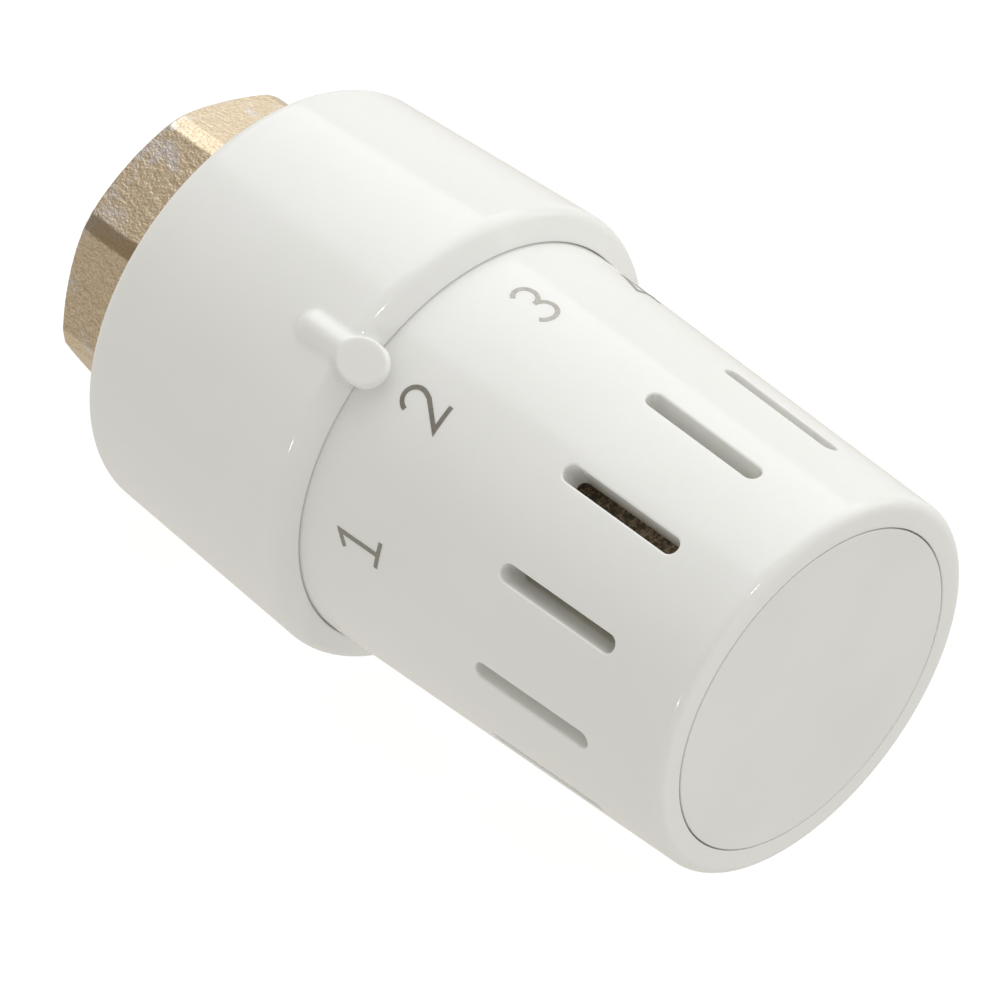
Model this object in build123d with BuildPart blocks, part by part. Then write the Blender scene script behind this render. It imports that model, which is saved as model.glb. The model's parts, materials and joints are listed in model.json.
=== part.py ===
from build123d import *
import os
from math import cos, radians, sin, tan

# Thermostatic head of a radiator valve. The axis of the head is X: the union nut's thread starts at
# x = 0 and the knob's end face is at x = head_length. Z is up, Y completes the frame.
# Angles round the axis are measured from +Z towards -Y. All sizes are in millimetres.

# ---- driving dimensions: outside ----
head_length = 85.0
nut_across_flats = 32.0
nut_sides = 8
nut_rear_x = -0.75
nut_front_x = 13.0
nut_corner_cut = 0.95
nut_corner_angle = 5.0
thread_minor_r = 14.19  # M30 x 1.5 internal thread, crest radius
collar_rear_x = 10.7
collar_rear_r = 23.35
collar_corner_x = 38.15
collar_corner_r = 24.63
collar_corner_round = 1.5
collar_lip_x = 39.7
collar_lip_r = 21.85
knob_end_r = 19.87
knob_skirt_r = 21.65
knob_wall = 1.55
disc_r = 16.92
disc_gap = 0.16
disc_thickness = 1.8

# ---- dial: vents, scale pointer and travel ----
vent_count = 12
vent_length = 14.0
vent_width = 1.8
vent_centre_x = 69.3
vent_angle = 27.5
pointer_angle = 35.5
pointer_tail_x = 33.6
pointer_width = 2.6
pointer_ridge_r = 24.1  # where the half-round ridge's own axis runs
pointer_pad_x = 40.35
pointer_pad_r = 2.25
pointer_pad_top_r = 24.4  # at the middle of the pad's slanted face
pointer_pad_slant = 24.0  # degrees, facing the front
pointer_pad_base_r = 22.6
pointer_pad_rim = 0.5
dial_closing_turn = 100.0  # degrees from the rest setting, two, down to frost protection
dial_opening_turn = 120.0  # degrees from the rest setting up to five
thread_lead = 8.0  # travel of the dial along the axis in one turn

# ---- inside: radii of the nested sleeves, from the axis outwards ----
running_gap = 0.08
pin_r = 2.0
cup_r = 11.5
carrier_bore_r = cup_r + running_gap
carrier_r = 13.5
drum_bore_r = carrier_r + running_gap
drum_r = 17.6
cage_bore_r = drum_r + running_gap
cage_r = 19.4
cage_front_bore_r = 15.0
cage_front_r = 16.8
knob_bore_r = knob_skirt_r - knob_wall
capsule_r = 12.6
key_count = 4
key_width = 2.8
key_height = 1.8
key_play = 0.2
neck_r = 12.1

# ---- inside: places along the axis at rest ----
neck_face_x = 8.6
flange_rear_x = 12.6
flange_front_x = 16.6
drum_front_x = 36.6
skirt_rear_x = 22.6
cage_rear_x = 25.6
shoulder_x = 40.0
shoulder_thickness = 2.0
cage_front_x = 80.6
pin_tip_x = 9.8


def radial_plane(angle, radius):
    """Plane square to the radius at an angle round the axis, with its own x along the head."""
    outward = (0, -sin(radians(angle)), cos(radians(angle)))
    origin = (0, radius * outward[1], radius * outward[2])
    return Plane(origin=origin, x_dir=(1, 0, 0), z_dir=outward)


def spread(count, first=0.0):
    """Angles of equally spaced features round the axis."""
    return [first + 360 / count * k for k in range(count)]


def turned(*points, rounds=(), mode=Mode.ADD):
    """Turn an (x, radius) outline round the head's axis. rounds holds (x, radius, fillet) corners."""
    with BuildSketch(Plane.XZ) as outline:
        with BuildLine():
            Polyline(*points, close=True)
        make_face()
        for x, radius, size in rounds:
            corner = outline.sketch_local.vertices().sort_by_distance((x, radius, 0))[0]
            fillet(corner, size)
    revolve(outline.sketch, axis=Axis.X, mode=mode)


def sleeve(x_rear, x_front, r_in, r_out, mode=Mode.ADD):
    """A plain tube or disc on the head's axis."""
    turned((x_rear, r_in), (x_front, r_in), (x_front, r_out), (x_rear, r_out), mode=mode)


def wire_ring(x, radius, wire_r, opening=0.0, middle=180.0):
    """A round wire ring on the axis, with a gap of an opening angle about its middle angle."""
    with BuildSketch(Plane.XZ.rotated((middle + opening / 2, 0, 0))) as section:
        with Locations((x, radius)):
            Circle(wire_r)
    revolve(section.sketch, axis=Axis.X, revolution_arc=360 - opening)


def keys(count, first, x_rear, x_front, r_in, r_out, width, mode=Mode.ADD):
    """Straight ribs, or slots, along the head at equal angles."""
    for angle in spread(count, first):
        with BuildSketch(radial_plane(angle, r_in)) as rib:
            with Locations(((x_rear + x_front) / 2, 0)):
                Rectangle(x_front - x_rear, width)
        extrude(rib.sketch, amount=r_out - r_in, mode=mode)


def vents(from_r, depth, slack, mode, longer=0.0):
    """Round-ended slots, or the solid ducts round them, from a radius outwards; longer to the rear."""
    for angle in spread(vent_count, vent_angle):
        with BuildSketch(radial_plane(angle, from_r)) as slot:
            with Locations((vent_centre_x - longer / 2, 0)):
                SlotOverall(vent_length + slack + longer, vent_width + slack)
        extrude(slot.sketch, amount=depth, mode=mode)


# ---- union nut: eight-sided, threaded from its mouth, with an inner lip at its front ----
nut_lip_rear_x = 10.6
nut_lip_bore_r = neck_r + 0.25
nut_rim_r = nut_across_flats / 2
nut_rim_depth = 0.8
nut_rim_angle = 60.0  # between the turned rim and the axis
thread_end_x = 8.0
thread_relief_r = 14.9
with BuildPart() as union_nut:
    with BuildSketch(Plane.YZ.offset(nut_rear_x)):
        corner_radius = nut_across_flats / 2 / cos(radians(180 / nut_sides))
        RegularPolygon(corner_radius, nut_sides, rotation=nut_corner_angle)
        chamfer(vertices(), nut_corner_cut)
    extrude(amount=nut_front_x - nut_rear_x)
    rim_front_x = nut_rear_x + nut_rim_depth
    turned(
        (nut_rear_x, nut_rim_r),
        (rim_front_x, nut_rim_r + nut_rim_depth * tan(radians(nut_rim_angle))),
        (rim_front_x, nut_across_flats),
        (nut_rear_x, nut_across_flats),
        mode=Mode.SUBTRACT,
    )
    turned(
        (nut_rear_x, 0),
        (nut_rear_x, thread_minor_r - nut_rear_x),
        (0, thread_minor_r),
        (0, 0),
        mode=Mode.SUBTRACT,
    )
    sleeve(0, thread_end_x, 0, thread_minor_r, mode=Mode.SUBTRACT)
    sleeve(thread_end_x, nut_lip_rear_x, 0, thread_relief_r, mode=Mode.SUBTRACT)
    sleeve(nut_lip_rear_x, nut_front_x, 0, nut_lip_bore_r, mode=Mode.SUBTRACT)

# ---- scale pointer: a half-round ridge that ends in a round pad with a slanted face ----
pointer_outward = radial_plane(pointer_angle, 0).z_dir
pad_middle = pointer_outward * pointer_pad_top_r + Vector(pointer_pad_x, 0, 0)
slant = radians(pointer_pad_slant)
pad_plane = Plane(origin=pad_middle, z_dir=pointer_outward * cos(slant) + Vector(1, 0, 0) * sin(slant))
with BuildPart() as pointer_ridge:
    ridge_start = pointer_outward * pointer_ridge_r + Vector(pointer_tail_x, 0, 0)
    ridge_r = pointer_width / 2
    ridge_length = pointer_pad_x - pointer_tail_x
    with BuildSketch(Plane(origin=ridge_start, x_dir=(1, 0, 0), z_dir=Vector(1, 0, 0).cross(pointer_outward))):
        with BuildLine():
            RadiusArc((-ridge_r, 0), (0, ridge_r), ridge_r)
            Polyline((0, ridge_r), (ridge_length, ridge_r), (ridge_length, 0))
            Line((ridge_length, 0), (-ridge_r, 0))
        make_face()
    revolve(axis=Axis(ridge_start, (1, 0, 0)))
    split(bisect_by=pad_plane, keep=Keep.BOTTOM)
with BuildPart() as pointer_pad:
    with BuildSketch(radial_plane(pointer_angle, pointer_pad_base_r)):
        with Locations((pointer_pad_x, 0)):
            Circle(pointer_pad_r)
    extrude(amount=2 * (pointer_pad_top_r - pointer_pad_base_r))
    split(bisect_by=pad_plane, keep=Keep.BOTTOM)
    fillet(faces().sort_by_distance(pad_middle)[0].edges(), pointer_pad_rim)

# ---- collar: the outer shell of the base, open to the front, with the scale pointer ----
collar_rear_hole_r = 18.2
collar_seat_r = 21.4
collar_bead_r = 21.1
collar_bead_x = flange_front_x + 0.05
collar_bead_width = 0.7
with BuildPart() as collar:
    turned(
        (collar_rear_x, collar_rear_hole_r),
        (collar_rear_x, collar_rear_r),
        (collar_corner_x, collar_corner_r),
        (collar_lip_x, collar_lip_r),
        (collar_bead_x + 2 * collar_bead_width, collar_lip_r),
        (collar_bead_x + collar_bead_width, collar_bead_r),
        (collar_bead_x, collar_bead_r),
        (collar_bead_x, collar_seat_r),
        (flange_rear_x, collar_seat_r),
        (flange_rear_x, collar_rear_hole_r),
        rounds=(
            (collar_rear_x, collar_rear_r, 1.4),
            (collar_rear_x, collar_rear_hole_r, 0.5),
            (collar_corner_x, collar_corner_r, collar_corner_round),
        ),
    )
    add(pointer_ridge.part)
    add(pointer_pad.part)

# ---- base socket: core of the base, with the neck in the nut, the flange and the thread drum ----
web_rear_x = 14.5
web_front_x = 17.0
guide_r = 5.0
neck_bore_r = 9.0
neck_front_x = nut_front_x + 0.5
collar_seat_step_r = collar_rear_hole_r + 0.4
ring_groove_x = 9.75
ring_wire_r = 0.75
with BuildPart() as base_socket:
    turned(
        (neck_face_x, neck_bore_r),
        (neck_face_x, neck_r),
        (neck_front_x, neck_r),
        (neck_front_x, collar_seat_step_r),
        (flange_rear_x, collar_seat_step_r),
        (flange_rear_x, collar_seat_r),
        (flange_front_x, collar_seat_r),
        (flange_front_x, drum_r),
        (drum_front_x, drum_r),
        (drum_front_x, drum_bore_r),
        (web_front_x, drum_bore_r),
        (web_front_x, guide_r),
        (web_rear_x, guide_r),
        (web_rear_x, neck_bore_r),
        rounds=((neck_face_x, neck_r, 0.4), (drum_front_x, drum_r, 0.5)),
    )
    groove_r = neck_r - ring_wire_r
    sleeve(ring_groove_x - ring_wire_r, ring_groove_x + ring_wire_r, groove_r, neck_r + 1, mode=Mode.SUBTRACT)
    slot_r = carrier_r + key_height + key_play
    slot_width = key_width + key_play
    slot_rear_x = web_front_x + 1
    keys(key_count, 45, slot_rear_x, drum_front_x, drum_bore_r - 1, slot_r, slot_width, mode=Mode.SUBTRACT)
    friction_groove_x = 31.0
    friction_groove_r = 16.5
    friction_wire_r = 0.55
    sleeve(
        friction_groove_x - friction_wire_r,
        friction_groove_x + friction_wire_r,
        friction_groove_r,
        drum_r + 1,
        mode=Mode.SUBTRACT,
    )

# ---- wire ring that keeps the nut on the neck ----
with BuildPart() as nut_retaining_ring:
    wire_ring(ring_groove_x, neck_r, ring_wire_r, opening=24)

# ---- rubber ring in the drum that rubs on the dial ----
with BuildPart() as friction_ring:
    wire_ring(friction_groove_x, friction_groove_r + friction_wire_r, friction_wire_r)

# ---- stop ring: two lugs of different height that the dial's tooth meets at its end stops ----
stop_ring_front_x = 18.2
stop_lug_in_r = 18.0
stop_lug_out_r = 19.8
stop_lug_width = 5.0
tooth_angle = 200.0
tooth_span = 16.0  # degrees taken by the tooth or a lug, with a degree of slack on each side
stop_clearance = 0.2
closing_travel = thread_lead * dial_closing_turn / 360
tooth_rear_x = stop_ring_front_x + closing_travel + stop_clearance
stop_lug_front_x = cage_rear_x - closing_travel - stop_clearance
with BuildPart() as stop_ring:
    sleeve(flange_front_x, stop_ring_front_x, drum_r, stop_lug_out_r)
    for lug_angle in (
        tooth_angle - dial_closing_turn - tooth_span - 1,
        tooth_angle + dial_opening_turn + tooth_span + 1,
    ):
        keys(1, lug_angle, stop_ring_front_x, stop_lug_front_x, stop_lug_in_r, stop_lug_out_r, stop_lug_width)

# ---- pin guide, in the web of the base socket, and the circlip behind the web ----
guide_flange_r = 7.0
guide_flange_front_x = web_front_x + 1.4
guide_rear_x = web_rear_x - 1.9
guide_front_x = web_front_x + 3.0
guide_chamfer = 0.6
circlip_thickness = 0.8
circlip_depth = 0.6
circlip_x = web_rear_x - circlip_thickness
with BuildPart() as pin_guide:
    turned(
        (guide_rear_x, pin_r + running_gap),
        (guide_rear_x, guide_r),
        (web_front_x, guide_r),
        (web_front_x, guide_flange_r),
        (guide_flange_front_x, guide_flange_r),
        (guide_front_x - guide_chamfer, guide_r),
        (guide_front_x, guide_r),
        (guide_front_x, pin_r + running_gap),
        rounds=((guide_rear_x, guide_r, 0.4),),
    )
    sleeve(circlip_x, web_rear_x, guide_r - circlip_depth, guide_r + 1, mode=Mode.SUBTRACT)

with BuildPart() as guide_circlip:
    sleeve(circlip_x, web_rear_x, guide_r - circlip_depth, guide_r + 1.6)
    keys(1, 180, circlip_x - 1, web_rear_x, 0, guide_r + 2, 4.0, mode=Mode.SUBTRACT)

# ---- sensor carrier: keyed in the drum, it slides along the head and carries the sensor ----
carrier_rear_x = 21.0
carrier_flange_x = 43.2
carrier_flange_r = cage_front_bore_r - 0.15
carrier_flange_front_x = carrier_flange_x + 2.0
carrier_cup_r = carrier_flange_r - 0.8
carrier_front_x = 56.0
carrier_floor_x = 47.6
carrier_key_front_x = 35.0
carrier_clip_x = shoulder_x - 0.9
carrier_clip_depth = 0.5
with BuildPart() as sensor_carrier:
    turned(
        (carrier_rear_x, carrier_bore_r),
        (carrier_rear_x, carrier_r),
        (carrier_flange_x, carrier_r),
        (carrier_flange_x, carrier_flange_r),
        (carrier_flange_front_x, carrier_flange_r),
        (carrier_flange_front_x + 1, carrier_cup_r),
        (carrier_front_x, carrier_cup_r),
        (carrier_front_x, capsule_r),
        (carrier_floor_x, capsule_r),
        (carrier_floor_x, carrier_bore_r),
    )
    key_r = carrier_r + key_height
    keys(key_count, 45, carrier_rear_x, carrier_key_front_x, carrier_r - 0.5, key_r, key_width)
    clip_front_x = carrier_clip_x + circlip_thickness
    sleeve(carrier_clip_x, clip_front_x, carrier_r - carrier_clip_depth, carrier_r + 1, mode=Mode.SUBTRACT)

with BuildPart() as carrier_circlip:
    sleeve(carrier_clip_x, clip_front_x, carrier_r - carrier_clip_depth, carrier_r + 2)
    keys(1, 180, carrier_clip_x - 1, clip_front_x + 1, 0, carrier_r + 4, 8.0, mode=Mode.SUBTRACT)

with BuildPart() as thrust_ring:
    sleeve(shoulder_x + shoulder_thickness + 0.05, carrier_flange_x, carrier_r + 0.1, carrier_flange_r)

# ---- liquid sensor: can, crimped cap, filling plug, bellows ----
capsule_rear_x = carrier_floor_x
capsule_front_x = 78.0
can_wall = 0.8
can_rear_x = capsule_rear_x + 2.0
cap_bore_r = 6.2
cap_floor_x = capsule_rear_x + 1.2
cap_skirt_x = can_rear_x + 2.0
filling_hole_r = 1.6
with BuildPart() as sensor_capsule:
    turned(
        (can_rear_x, capsule_r - can_wall),
        (can_rear_x, capsule_r),
        (capsule_front_x, capsule_r),
        (capsule_front_x, filling_hole_r),
        (capsule_front_x - can_wall, filling_hole_r),
        (capsule_front_x - can_wall, capsule_r - can_wall),
        rounds=((capsule_front_x, capsule_r, 2.2), (capsule_front_x - can_wall, capsule_r - can_wall, 1.4)),
    )
with BuildPart() as capsule_cap:
    turned(
        (capsule_rear_x, cap_bore_r),
        (capsule_rear_x, capsule_r),
        (can_rear_x, capsule_r),
        (can_rear_x, capsule_r - can_wall),
        (cap_skirt_x, capsule_r - can_wall),
        (cap_skirt_x, capsule_r - 2 * can_wall),
        (cap_floor_x, capsule_r - 2 * can_wall),
        (cap_floor_x, cap_bore_r),
    )
with BuildPart() as filling_plug:
    turned(
        (capsule_front_x - can_wall, 0),
        (capsule_front_x - can_wall, filling_hole_r),
        (capsule_front_x, filling_hole_r),
        (capsule_front_x, 2.6),
        (capsule_front_x + 0.8, 2.2),
        (capsule_front_x + 0.8, 0),
    )

bellows_folds = 9
bellows_pitch = 1.8
bellows_in_r = 5.4
bellows_out_r = 8.6
bellows_wall = 0.8  # measured square to the axis, across the steep folds
bellows_end_wall = 0.6
bellows_rear_x = cap_floor_x
bellows_end_x = bellows_rear_x + bellows_folds * bellows_pitch
with BuildPart() as sensor_bellows:
    crests = [(bellows_rear_x + fold * bellows_pitch, bellows_out_r) for fold in range(bellows_folds + 1)]
    valleys = [(x + bellows_pitch / 2, bellows_in_r) for x, _ in crests[:-1]]
    folds = sorted(crests + valleys)
    turned((bellows_rear_x, 0), *folds, (bellows_end_x, 0))
    hollow = [(x, r - bellows_wall) for x, r in folds]
    turned((bellows_rear_x, 0), *hollow, (bellows_end_x, 0), mode=Mode.SUBTRACT)
    sleeve(bellows_end_x - bellows_end_wall, bellows_end_x, 0, bellows_out_r)

# ---- plunger: piston, spring cup, overtravel spring and its retainer ----
cup_rear_x = 27.0
cup_front_x = 45.0
cup_bore_r = 9.5
cup_floor = 2.0
retainer_front_x = cup_rear_x + 1.6
retainer_bore_r = 6.0
contact_gap = 0.05
piston_front_x = bellows_end_x - bellows_end_wall - 1.6
piston_head_r = 3.6
piston_head_length = 0.4
with BuildPart() as sensor_piston:
    turned(
        (cup_front_x, 0),
        (cup_front_x, pin_r),
        (piston_front_x - piston_head_length, pin_r),
        (piston_front_x - piston_head_length, piston_head_r),
        (piston_front_x, piston_head_r),
        (piston_front_x, 0),
    )
with BuildPart() as spring_cup:
    turned(
        (cup_rear_x, cup_bore_r),
        (cup_rear_x, cup_r),
        (cup_front_x, cup_r),
        (cup_front_x, 0),
        (cup_front_x - cup_floor, 0),
        (cup_front_x - cup_floor, cup_bore_r),
        rounds=((cup_front_x, cup_r, 1.0),),
    )
with BuildPart() as spring_retainer:
    sleeve(cup_rear_x, retainer_front_x, retainer_bore_r, cup_bore_r)
    keys(3, 0, cup_rear_x - 1, retainer_front_x + 1, 0, retainer_bore_r + 1.6, 2.4, mode=Mode.SUBTRACT)

pin_flange_front_x = retainer_front_x + 1.8
pin_flange_r = cup_bore_r - 0.2
spring_wire_r = 0.8
spring_r = 7.4
spring_turns = 4
with BuildPart() as overtravel_spring:
    spring_rear_x = pin_flange_front_x + spring_wire_r + contact_gap
    spring_length = cup_front_x - cup_floor - spring_rear_x - spring_wire_r - contact_gap
    with BuildLine():
        coil = Helix(
            pitch=spring_length / spring_turns,
            height=spring_length,
            radius=spring_r,
            center=(spring_rear_x, 0, 0),
            direction=(1, 0, 0),
        )
    with BuildSketch(Plane(origin=coil @ 0, z_dir=coil % 0)):
        Circle(spring_wire_r)
    sweep()

# ---- push pin: acts on the valve's spindle, held in the spring cup by its flange ----
with BuildPart() as push_pin:
    turned(
        (pin_tip_x, 0),
        (pin_tip_x, pin_r),
        (retainer_front_x + contact_gap, pin_r),
        (retainer_front_x + contact_gap, pin_flange_r),
        (pin_flange_front_x, pin_flange_r),
        (pin_flange_front_x, 0),
        rounds=((pin_tip_x, pin_r, 0.5),),
    )

# ---- dial cage: runs on the drum, holds the carrier and lines the vents ----
cage_slot_slack = 0.4
cage_slot_longer = 1.2
cage_flange_x = cage_rear_x + 2.0
cage_lip_r = 9.0
cage_end_wall = 1.6
cage_neck_x = shoulder_x + shoulder_thickness + 3
peg_r = 1.4
peg_circle_r = 12.5
with BuildPart() as dial_cage:
    turned(
        (cage_rear_x, cage_bore_r),
        (cage_rear_x, knob_bore_r),
        (cage_flange_x, knob_bore_r),
        (cage_flange_x, cage_r),
        (shoulder_x + shoulder_thickness, cage_r),
        (cage_neck_x, cage_front_r),
        (cage_front_x, cage_front_r),
        (cage_front_x, cage_lip_r),
        (cage_front_x - cage_end_wall, cage_lip_r),
        (cage_front_x - cage_end_wall, cage_front_bore_r),
        (shoulder_x + shoulder_thickness, cage_front_bore_r),
        (shoulder_x + shoulder_thickness, carrier_r + 0.1),
        (shoulder_x, carrier_r + 0.1),
        (shoulder_x, cage_bore_r),
    )
    keys(1, tooth_angle, tooth_rear_x, cage_rear_x, stop_lug_in_r, stop_lug_out_r, stop_lug_width)
    vents(cage_front_bore_r - 2, 4, cage_slot_slack, Mode.SUBTRACT, longer=cage_slot_longer)
    snap_x = 50.0
    snap_wire_r = 0.6
    groove_r = cage_front_r - snap_wire_r
    sleeve(snap_x - snap_wire_r, snap_x + snap_wire_r, groove_r, cage_front_r + 1, mode=Mode.SUBTRACT)

with BuildPart() as cage_snap_ring:
    wire_ring(snap_x, cage_front_r, snap_wire_r, opening=30)

# ---- knob: tapered shell with vents, its end recessed for the disc ----
knob_taper = (knob_skirt_r - knob_end_r) / (head_length - collar_lip_x)
end_wall_x = head_length - disc_thickness
end_wall_thickness = 2.0
recess_r = disc_r + disc_gap
duct_wall = 1.2
duct_in_r = cage_front_r + 0.15
snap_rib_r = cage_front_r + snap_wire_r + 0.05
snap_rib_width = 3.0
with BuildPart() as dial_knob:
    inner_end_x = end_wall_x - end_wall_thickness
    inner_end_r = knob_end_r + knob_taper * (head_length - inner_end_x) - knob_wall
    turned(
        (skirt_rear_x, knob_bore_r),
        (skirt_rear_x, knob_skirt_r),
        (collar_lip_x, knob_skirt_r),
        (head_length, knob_end_r),
        (head_length, recess_r),
        (end_wall_x, recess_r),
        (end_wall_x, 0),
        (inner_end_x, 0),
        (inner_end_x, inner_end_r),
        (collar_lip_x, knob_bore_r),
        rounds=(
            (head_length, knob_end_r, 1.1),
            (head_length, recess_r, 0.3),
            (inner_end_x, inner_end_r, 1.5),
        ),
    )
    turned(
        (snap_x - snap_rib_width / 2, snap_rib_r),
        (snap_x + snap_rib_width / 2, snap_rib_r),
        (snap_x + snap_rib_width / 2, knob_bore_r),
        (snap_x - snap_rib_width / 2, knob_bore_r),
    )
    vents(duct_in_r, knob_end_r - knob_wall / 2 - duct_in_r, 2 * duct_wall, Mode.ADD)
    vents(duct_in_r - 1, 7, 0, Mode.SUBTRACT)
    with BuildSketch(Plane.YZ.offset(inner_end_x)):
        with PolarLocations(peg_circle_r, 3):
            Circle(peg_r + 0.1)
    extrude(amount=end_wall_thickness, mode=Mode.SUBTRACT)
    knob_vents = edges().filter_by(lambda e: abs(e.center().X - vent_centre_x) < vent_length / 2 + 1)
    outside = [e for e in knob_vents if (e.center().Y ** 2 + e.center().Z ** 2) ** 0.5 > knob_end_r]
    fillet(outside, 0.2)

# ---- end disc: flat inlay in the knob's end, on three pegs ----
with BuildPart() as end_disc:
    turned(
        (end_wall_x, 0),
        (head_length, 0),
        (head_length, disc_r),
        (end_wall_x, disc_r),
        rounds=((head_length, disc_r, 0.2),),
    )
    with BuildSketch(Plane.YZ.offset(inner_end_x)):
        with PolarLocations(peg_circle_r, 3):
            Circle(peg_r)
    extrude(amount=end_wall_thickness)

# ---- every piece goes to its own file ----
pieces = {
    "union_nut": union_nut,
    "nut_retaining_ring": nut_retaining_ring,
    "collar": collar,
    "base_socket": base_socket,
    "stop_ring": stop_ring,
    "friction_ring": friction_ring,
    "pin_guide": pin_guide,
    "guide_circlip": guide_circlip,
    "sensor_carrier": sensor_carrier,
    "carrier_circlip": carrier_circlip,
    "thrust_ring": thrust_ring,
    "sensor_capsule": sensor_capsule,
    "capsule_cap": capsule_cap,
    "filling_plug": filling_plug,
    "sensor_bellows": sensor_bellows,
    "sensor_piston": sensor_piston,
    "spring_cup": spring_cup,
    "spring_retainer": spring_retainer,
    "overtravel_spring": overtravel_spring,
    "push_pin": push_pin,
    "dial_cage": dial_cage,
    "cage_snap_ring": cage_snap_ring,
    "dial_knob": dial_knob,
    "end_disc": end_disc,
}
os.makedirs("parts", exist_ok=True)
for name, builder in pieces.items():
    builder.part.label = name
    export_step(builder.part, f"parts/{name}.step")
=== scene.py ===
import json
from math import atan2, cos, pi, radians, sin, tan

import bmesh
import bpy
import numpy as np
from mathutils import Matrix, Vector
from mathutils.geometry import delaunay_2d_cdt


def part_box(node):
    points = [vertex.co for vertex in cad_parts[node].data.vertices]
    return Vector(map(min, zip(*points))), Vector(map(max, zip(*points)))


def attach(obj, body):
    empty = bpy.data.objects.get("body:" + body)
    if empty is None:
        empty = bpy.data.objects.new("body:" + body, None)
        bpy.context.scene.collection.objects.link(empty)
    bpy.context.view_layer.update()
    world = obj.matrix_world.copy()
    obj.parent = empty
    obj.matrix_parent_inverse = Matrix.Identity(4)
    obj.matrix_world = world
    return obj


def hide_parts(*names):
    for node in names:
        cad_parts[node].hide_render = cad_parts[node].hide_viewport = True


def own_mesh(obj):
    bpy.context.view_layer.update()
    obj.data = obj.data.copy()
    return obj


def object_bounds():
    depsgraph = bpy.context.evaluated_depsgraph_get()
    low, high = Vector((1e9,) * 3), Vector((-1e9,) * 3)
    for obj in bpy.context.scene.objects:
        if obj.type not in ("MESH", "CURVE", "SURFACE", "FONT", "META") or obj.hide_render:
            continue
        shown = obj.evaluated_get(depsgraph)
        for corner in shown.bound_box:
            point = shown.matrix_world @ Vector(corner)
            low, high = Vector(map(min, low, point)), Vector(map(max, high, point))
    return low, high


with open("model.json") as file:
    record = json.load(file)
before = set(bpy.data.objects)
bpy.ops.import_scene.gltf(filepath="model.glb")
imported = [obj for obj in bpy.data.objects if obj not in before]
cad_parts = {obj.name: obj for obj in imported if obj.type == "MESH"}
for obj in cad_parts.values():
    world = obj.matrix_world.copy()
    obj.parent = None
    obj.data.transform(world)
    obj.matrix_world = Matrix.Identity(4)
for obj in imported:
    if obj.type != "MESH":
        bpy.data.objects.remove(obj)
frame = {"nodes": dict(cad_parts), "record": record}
cad_low, cad_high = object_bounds()

# Shapes below are worked out in millimetres and written to the meshes in metres. The head's axis is X.
# Angles round the axis are measured from +Z towards -Y, as in the frame.
MM = 0.001


def box_mm(name):
    """Lowest and highest corner of a CAD node in millimetres."""
    low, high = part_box(name)
    return np.array(low) / MM, np.array(high) / MM


knob_low, knob_high = box_mm("dial_knob")
collar_low, _ = box_mm("collar")
_, disc_high = box_mm("end_disc")
nut_low, nut_high = box_mm("union_nut")
thread = next(m for m in frame["record"]["mounts"] if m["name"] == "union_thread")

# ---- sizes of the dial knob ----
SKIRT_REAR_X = knob_low[0]
SKIRT_R = knob_high[2]
FRONT_X = knob_high[0]
LIP_X = 39.7
FRONT_R = 19.87
FRONT_ROUND = 1.1
WALL = 1.55
DISC_R = disc_high[2]
DISC_GAP = 0.16
DISC_THICKNESS = 1.8
END_WALL = 2.0
VENTS = 12
VENT_ANGLE = 27.5
VENT_X = 69.3
VENT_LENGTH = 14.0
VENT_WIDTH = 1.8
VENT_LIP = 0.22
VENT_FLOOR_R = 16.95
DUCT_WALL = 1.2
VENT_FIELD = 10.2  # half the length of the band of the cone that holds the vents
VENT_SIDE_STEPS, VENT_CORNER_STEPS, VENT_END_STEPS = 16, 6, 24
SKIRT_ROUND = 0.4
RECESS_ROUND = 0.12
DISC_ROUND = 0.1

# ---- sizes of the collar and its pointer ----
COLLAR_REAR_X = collar_low[0]
COLLAR_REAR_R = 23.35
COLLAR_CORNER_X = 38.15
COLLAR_CORNER_R = 24.63
COLLAR_CORNER_ROUND = 1.5
COLLAR_REAR_ROUND = 1.4
COLLAR_LIP_R = 21.77
COLLAR_LIP_ROUND = 0.12
KNOB_CLEARANCE = 0.03  # how far the pointer may reach inside the lip towards the knob
COLLAR_HOLE_R = 18.2
COLLAR_BORE_REAR_X = 18.0
COLLAR_REAR_BORE_R = 21.4
COLLAR_REAR_WALL = 1.9
POINTER_ANGLE = 35.5
POINTER_TAIL_X = 33.6
POINTER_WIDTH = 2.6
POINTER_RIDGE_R = 24.1
POINTER_PAD_X = 40.35
POINTER_PAD_R = 2.25
POINTER_TOP_R = 24.4
POINTER_SLANT = 26.0
POINTER_BASE_R = 22.6
POINTER_RIM = 0.5
POINTER_BLEND = 1.1
POINTER_REACH = 18.0  # degrees to each side beyond which the collar is plain

# ---- sizes of the union nut ----
NUT_REAR_X = nut_low[0]
NUT_FRONT_X = nut_high[0]
NUT_FLATS = 32.0
NUT_SIDES = 8
NUT_ANGLE = 5.0
NUT_CORNER_CUT = 0.95
NUT_RIM_SLOPE = tan(radians(60))
NUT_MOUTH_CHAMFER = 0.9
NUT_EDGE_ROUND = 0.3
NUT_BLAST_DEPTH = 0.035
NUT_LIP_R = 12.35
NUT_LIP_X = 10.6
NUT_FILM_X = 2.5  # middle of the blue-grey tarnish on one face
NUT_FILM_ANGLE = 19.0
THREAD_R = thread["dims"]["r_mm"]
THREAD_END_X = thread["dims"]["length_mm"]
THREAD_PITCH = 1.5
THREAD_ROOT_R = 15.0
THREAD_FADE = 0.8

# ---- overtravel spring ----
SPRING_WIRE = 1.6
SPRING_TURNS = 4
SPRING_TURN_STEPS, SPRING_WIRE_STEPS = 48, 16

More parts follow.
